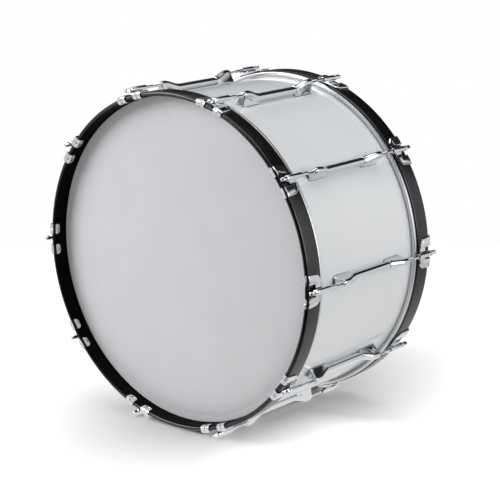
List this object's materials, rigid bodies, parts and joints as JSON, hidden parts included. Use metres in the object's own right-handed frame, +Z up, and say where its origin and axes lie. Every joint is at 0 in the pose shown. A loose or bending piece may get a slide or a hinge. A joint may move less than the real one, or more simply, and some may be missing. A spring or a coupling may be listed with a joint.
{
  "type": "marching bass drum",
  "caption": "Two-headed marching bass drum: lacquered shell, wooden hoops, flesh hoops, tube lugs, and claws drawn down by square-headed tension rods.",
  "frame": {"origin": "on the floor under the drum, midway between the two hoops", "axes": "+Z up, Y along the drum's axis with the front head facing -Y, X to the side"},
  "size_m": [0.659, 0.3764, 0.6271],
  "materials": {
    "shell_lacquer": "gloss white lacquer over a ply shell",
    "head_film": "smooth white polyester film",
    "flesh_hoop_aluminium": "brushed",
    "hoop_black": "gloss black lacquer",
    "chrome_casting": "bright chrome on a casting",
    "chrome_steel": "bright chrome on steel"
  },
  "bodies": {
    "drum_body": {"shell": "shell_lacquer", "lug_01": "chrome_casting", "lug_02": "chrome_casting", "lug_03": "chrome_casting", "lug_04": "chrome_casting", "lug_05": "chrome_casting", "lug_06": "chrome_casting", "lug_07": "chrome_casting", "lug_08": "chrome_casting", "lug_09": "chrome_casting", "lug_10": "chrome_casting"},
    "front_head_body": {"front_head": "head_film", "front_flesh_hoop": "flesh_hoop_aluminium"},
    "front_hoop_body": {"front_hoop": "hoop_black"},
    "front_claw_01_body": {"front_claw_01": "chrome_casting"},
    "front_rod_01_body": {"front_rod_01": "chrome_steel"},
    "front_claw_02_body": {"front_claw_02": "chrome_casting"},
    "front_rod_02_body": {"front_rod_02": "chrome_steel"},
    "front_claw_03_body": {"front_claw_03": "chrome_casting"},
    "front_rod_03_body": {"front_rod_03": "chrome_steel"},
    "front_claw_04_body": {"front_claw_04": "chrome_casting"},
    "front_rod_04_body": {"front_rod_04": "chrome_steel"},
    "front_claw_05_body": {"front_claw_05": "chrome_casting"},
    "front_rod_05_body": {"front_rod_05": "chrome_steel"},
    "front_claw_06_body": {"front_claw_06": "chrome_casting"},
    "front_rod_06_body": {"front_rod_06": "chrome_steel"},
    "front_claw_07_body": {"front_claw_07": "chrome_casting"},
    "front_rod_07_body": {"front_rod_07": "chrome_steel"},
    "front_claw_08_body": {"front_claw_08": "chrome_casting"},
    "front_rod_08_body": {"front_rod_08": "chrome_steel"},
    "front_claw_09_body": {"front_claw_09": "chrome_casting"},
    "front_rod_09_body": {"front_rod_09": "chrome_steel"},
    "front_claw_10_body": {"front_claw_10": "chrome_casting"},
    "front_rod_10_body": {"front_rod_10": "chrome_steel"},
    "rear_head_body": {"rear_head": "head_film", "rear_flesh_hoop": "flesh_hoop_aluminium"},
    "rear_hoop_body": {"rear_hoop": "hoop_black"},
    "rear_claw_01_body": {"rear_claw_01": "chrome_casting"},
    "rear_rod_01_body": {"rear_rod_01": "chrome_steel"},
    "rear_claw_02_body": {"rear_claw_02": "chrome_casting"},
    "rear_rod_02_body": {"rear_rod_02": "chrome_steel"},
    "rear_claw_03_body": {"rear_claw_03": "chrome_casting"},
    "rear_rod_03_body": {"rear_rod_03": "chrome_steel"},
    "rear_claw_04_body": {"rear_claw_04": "chrome_casting"},
    "rear_rod_04_body": {"rear_rod_04": "chrome_steel"},
    "rear_claw_05_body": {"rear_claw_05": "chrome_casting"},
    "rear_rod_05_body": {"rear_rod_05": "chrome_steel"},
    "rear_claw_06_body": {"rear_claw_06": "chrome_casting"},
    "rear_rod_06_body": {"rear_rod_06": "chrome_steel"},
    "rear_claw_07_body": {"rear_claw_07": "chrome_casting"},
    "rear_rod_07_body": {"rear_rod_07": "chrome_steel"},
    "rear_claw_08_body": {"rear_claw_08": "chrome_casting"},
    "rear_rod_08_body": {"rear_rod_08": "chrome_steel"},
    "rear_claw_09_body": {"rear_claw_09": "chrome_casting"},
    "rear_rod_09_body": {"rear_rod_09": "chrome_steel"},
    "rear_claw_10_body": {"rear_claw_10": "chrome_casting"},
    "rear_rod_10_body": {"rear_rod_10": "chrome_steel"}
  },
  "joints": [
    {"name": "front_head_lift", "type": "slide", "parent": "drum_body", "child": "front_head_body", "axis": [0, -1, 0], "range_m": [0, 0.05]},
    {"name": "front_hoop_lift", "type": "slide", "parent": "front_head_body", "child": "front_hoop_body", "axis": [0, -1, 0], "range_m": [0, 0.05]},
    {"name": "front_claw_01_slide", "type": "slide", "parent": "front_hoop_body", "child": "front_claw_01_body", "axis": [0, -1, 0], "range_m": [0, 0.02116]},
    {"name": "front_rod_01_turn", "type": "hinge", "parent": "front_claw_01_body", "child": "front_rod_01_body", "pos_m": [0.09981, -0.16, 0.62076], "axis": [0, -1, 0], "range_deg": [0, 7200]},
    {"name": "front_claw_02_slide", "type": "slide", "parent": "front_hoop_body", "child": "front_claw_02_body", "axis": [0, -1, 0], "range_m": [0, 0.02116]},
    {"name": "front_rod_02_turn", "type": "hinge", "parent": "front_claw_02_body", "child": "front_rod_02_body", "pos_m": [0.26131, -0.16, 0.50342], "axis": [0, -1, 0], "range_deg": [0, 7200]},
    {"name": "front_claw_03_slide", "type": "slide", "parent": "front_hoop_body", "child": "front_claw_03_body", "axis": [0, -1, 0], "range_m": [0, 0.02116]},
    {"name": "front_rod_03_turn", "type": "hinge", "parent": "front_claw_03_body", "child": "front_rod_03_body", "pos_m": [0.323, -0.16, 0.31357], "axis": [0, -1, 0], "range_deg": [0, 7200]},
    {"name": "front_claw_04_slide", "type": "slide", "parent": "front_hoop_body", "child": "front_claw_04_body", "axis": [0, -1, 0], "range_m": [0, 0.02116]},
    {"name": "front_rod_04_turn", "type": "hinge", "parent": "front_claw_04_body", "child": "front_rod_04_body", "pos_m": [0.26131, -0.16, 0.12372], "axis": [0, -1, 0], "range_deg": [0, 7200]},
    {"name": "front_claw_05_slide", "type": "slide", "parent": "front_hoop_body", "child": "front_claw_05_body", "axis": [0, -1, 0], "range_m": [0, 0.02116]},
    {"name": "front_rod_05_turn", "type": "hinge", "parent": "front_claw_05_body", "child": "front_rod_05_body", "pos_m": [0.09981, -0.16, 0.00638], "axis": [0, -1, 0], "range_deg": [0, 7200]},
    {"name": "front_claw_06_slide", "type": "slide", "parent": "front_hoop_body", "child": "front_claw_06_body", "axis": [0, -1, 0], "range_m": [0, 0.02116]},
    {"name": "front_rod_06_turn", "type": "hinge", "parent": "front_claw_06_body", "child": "front_rod_06_body", "pos_m": [-0.09981, -0.16, 0.00638], "axis": [0, -1, 0], "range_deg": [0, 7200]},
    {"name": "front_claw_07_slide", "type": "slide", "parent": "front_hoop_body", "child": "front_claw_07_body", "axis": [0, -1, 0], "range_m": [0, 0.02116]},
    {"name": "front_rod_07_turn", "type": "hinge", "parent": "front_claw_07_body", "child": "front_rod_07_body", "pos_m": [-0.26131, -0.16, 0.12372], "axis": [0, -1, 0], "range_deg": [0, 7200]},
    {"name": "front_claw_08_slide", "type": "slide", "parent": "front_hoop_body", "child": "front_claw_08_body", "axis": [0, -1, 0], "range_m": [0, 0.02116]},
    {"name": "front_rod_08_turn", "type": "hinge", "parent": "front_claw_08_body", "child": "front_rod_08_body", "pos_m": [-0.323, -0.16, 0.31357], "axis": [0, -1, 0], "range_deg": [0, 7200]},
    {"name": "front_claw_09_slide", "type": "slide", "parent": "front_hoop_body", "child": "front_claw_09_body", "axis": [0, -1, 0], "range_m": [0, 0.02116]},
    {"name": "front_rod_09_turn", "type": "hinge", "parent": "front_claw_09_body", "child": "front_rod_09_body", "pos_m": [-0.26131, -0.16, 0.50342], "axis": [0, -1, 0], "range_deg": [0, 7200]},
    {"name": "front_claw_10_slide", "type": "slide", "parent": "front_hoop_body", "child": "front_claw_10_body", "axis": [0, -1, 0], "range_m": [0, 0.02116]},
    {"name": "front_rod_10_turn", "type": "hinge", "parent": "front_claw_10_body", "child": "front_rod_10_body", "pos_m": [-0.09981, -0.16, 0.62076], "axis": [0, -1, 0], "range_deg": [0, 7200]},
    {"name": "rear_head_lift", "type": "slide", "parent": "drum_body", "child": "rear_head_body", "axis": [0, 1, 0], "range_m": [0, 0.05]},
    {"name": "rear_hoop_lift", "type": "slide", "parent": "rear_head_body", "child": "rear_hoop_body", "axis": [0, 1, 0], "range_m": [0, 0.05]},
    {"name": "rear_claw_01_slide", "type": "slide", "parent": "rear_hoop_body", "child": "rear_claw_01_body", "axis": [0, 1, 0], "range_m": [0, 0.02116]},
    {"name": "rear_rod_01_turn", "type": "hinge", "parent": "rear_claw_01_body", "child": "rear_rod_01_body", "pos_m": [0.09981, 0.16, 0.62076], "axis": [0, 1, 0], "range_deg": [0, 7200]},
    {"name": "rear_claw_02_slide", "type": "slide", "parent": "rear_hoop_body", "child": "rear_claw_02_body", "axis": [0, 1, 0], "range_m": [0, 0.02116]},
    {"name": "rear_rod_02_turn", "type": "hinge", "parent": "rear_claw_02_body", "child": "rear_rod_02_body", "pos_m": [0.26131, 0.16, 0.50342], "axis": [0, 1, 0], "range_deg": [0, 7200]},
    {"name": "rear_claw_03_slide", "type": "slide", "parent": "rear_hoop_body", "child": "rear_claw_03_body", "axis": [0, 1, 0], "range_m": [0, 0.02116]},
    {"name": "rear_rod_03_turn", "type": "hinge", "parent": "rear_claw_03_body", "child": "rear_rod_03_body", "pos_m": [0.323, 0.16, 0.31357], "axis": [0, 1, 0], "range_deg": [0, 7200]},
    {"name": "rear_claw_04_slide", "type": "slide", "parent": "rear_hoop_body", "child": "rear_claw_04_body", "axis": [0, 1, 0], "range_m": [0, 0.02116]},
    {"name": "rear_rod_04_turn", "type": "hinge", "parent": "rear_claw_04_body", "child": "rear_rod_04_body", "pos_m": [0.26131, 0.16, 0.12372], "axis": [0, 1, 0], "range_deg": [0, 7200]},
    {"name": "rear_claw_05_slide", "type": "slide", "parent": "rear_hoop_body", "child": "rear_claw_05_body", "axis": [0, 1, 0], "range_m": [0, 0.02116]},
    {"name": "rear_rod_05_turn", "type": "hinge", "parent": "rear_claw_05_body", "child": "rear_rod_05_body", "pos_m": [0.09981, 0.16, 0.00638], "axis": [0, 1, 0], "range_deg": [0, 7200]},
    {"name": "rear_claw_06_slide", "type": "slide", "parent": "rear_hoop_body", "child": "rear_claw_06_body", "axis": [0, 1, 0], "range_m": [0, 0.02116]},
    {"name": "rear_rod_06_turn", "type": "hinge", "parent": "rear_claw_06_body", "child": "rear_rod_06_body", "pos_m": [-0.09981, 0.16, 0.00638], "axis": [0, 1, 0], "range_deg": [0, 7200]},
    {"name": "rear_claw_07_slide", "type": "slide", "parent": "rear_hoop_body", "child": "rear_claw_07_body", "axis": [0, 1, 0], "range_m": [0, 0.02116]},
    {"name": "rear_rod_07_turn", "type": "hinge", "parent": "rear_claw_07_body", "child": "rear_rod_07_body", "pos_m": [-0.26131, 0.16, 0.12372], "axis": [0, 1, 0], "range_deg": [0, 7200]},
    {"name": "rear_claw_08_slide", "type": "slide", "parent": "rear_hoop_body", "child": "rear_claw_08_body", "axis": [0, 1, 0], "range_m": [0, 0.02116]},
    {"name": "rear_rod_08_turn", "type": "hinge", "parent": "rear_claw_08_body", "child": "rear_rod_08_body", "pos_m": [-0.323, 0.16, 0.31357], "axis": [0, 1, 0], "range_deg": [0, 7200]},
    {"name": "rear_claw_09_slide", "type": "slide", "parent": "rear_hoop_body", "child": "rear_claw_09_body", "axis": [0, 1, 0], "range_m": [0, 0.02116]},
    {"name": "rear_rod_09_turn", "type": "hinge", "parent": "rear_claw_09_body", "child": "rear_rod_09_body", "pos_m": [-0.26131, 0.16, 0.50342], "axis": [0, 1, 0], "range_deg": [0, 7200]},
    {"name": "rear_claw_10_slide", "type": "slide", "parent": "rear_hoop_body", "child": "rear_claw_10_body", "axis": [0, 1, 0], "range_m": [0, 0.02116]},
    {"name": "rear_rod_10_turn", "type": "hinge", "parent": "rear_claw_10_body", "child": "rear_rod_10_body", "pos_m": [-0.09981, 0.16, 0.62076], "axis": [0, 1, 0], "range_deg": [0, 7200]}
  ],
  "couplings": [
    {"joint": "front_rod_01_turn", "follows": "front_claw_01_slide", "rad_per_m": 5936.9},
    {"joint": "front_rod_02_turn", "follows": "front_claw_02_slide", "rad_per_m": 5936.9},
    {"joint": "front_rod_03_turn", "follows": "front_claw_03_slide", "rad_per_m": 5936.9},
    {"joint": "front_rod_04_turn", "follows": "front_claw_04_slide", "rad_per_m": 5936.9},
    {"joint": "front_rod_05_turn", "follows": "front_claw_05_slide", "rad_per_m": 5936.9},
    {"joint": "front_rod_06_turn", "follows": "front_claw_06_slide", "rad_per_m": 5936.9},
    {"joint": "front_rod_07_turn", "follows": "front_claw_07_slide", "rad_per_m": 5936.9},
    {"joint": "front_rod_08_turn", "follows": "front_claw_08_slide", "rad_per_m": 5936.9},
    {"joint": "front_rod_09_turn", "follows": "front_claw_09_slide", "rad_per_m": 5936.9},
    {"joint": "front_rod_10_turn", "follows": "front_claw_10_slide", "rad_per_m": 5936.9},
    {"joint": "rear_rod_01_turn", "follows": "rear_claw_01_slide", "rad_per_m": 5936.9},
    {"joint": "rear_rod_02_turn", "follows": "rear_claw_02_slide", "rad_per_m": 5936.9},
    {"joint": "rear_rod_03_turn", "follows": "rear_claw_03_slide", "rad_per_m": 5936.9},
    {"joint": "rear_rod_04_turn", "follows": "rear_claw_04_slide", "rad_per_m": 5936.9},
    {"joint": "rear_rod_05_turn", "follows": "rear_claw_05_slide", "rad_per_m": 5936.9},
    {"joint": "rear_rod_06_turn", "follows": "rear_claw_06_slide", "rad_per_m": 5936.9},
    {"joint": "rear_rod_07_turn", "follows": "rear_claw_07_slide", "rad_per_m": 5936.9},
    {"joint": "rear_rod_08_turn", "follows": "rear_claw_08_slide", "rad_per_m": 5936.9},
    {"joint": "rear_rod_09_turn", "follows": "rear_claw_09_slide", "rad_per_m": 5936.9},
    {"joint": "rear_rod_10_turn", "follows": "rear_claw_10_slide", "rad_per_m": 5936.9}
  ]
}
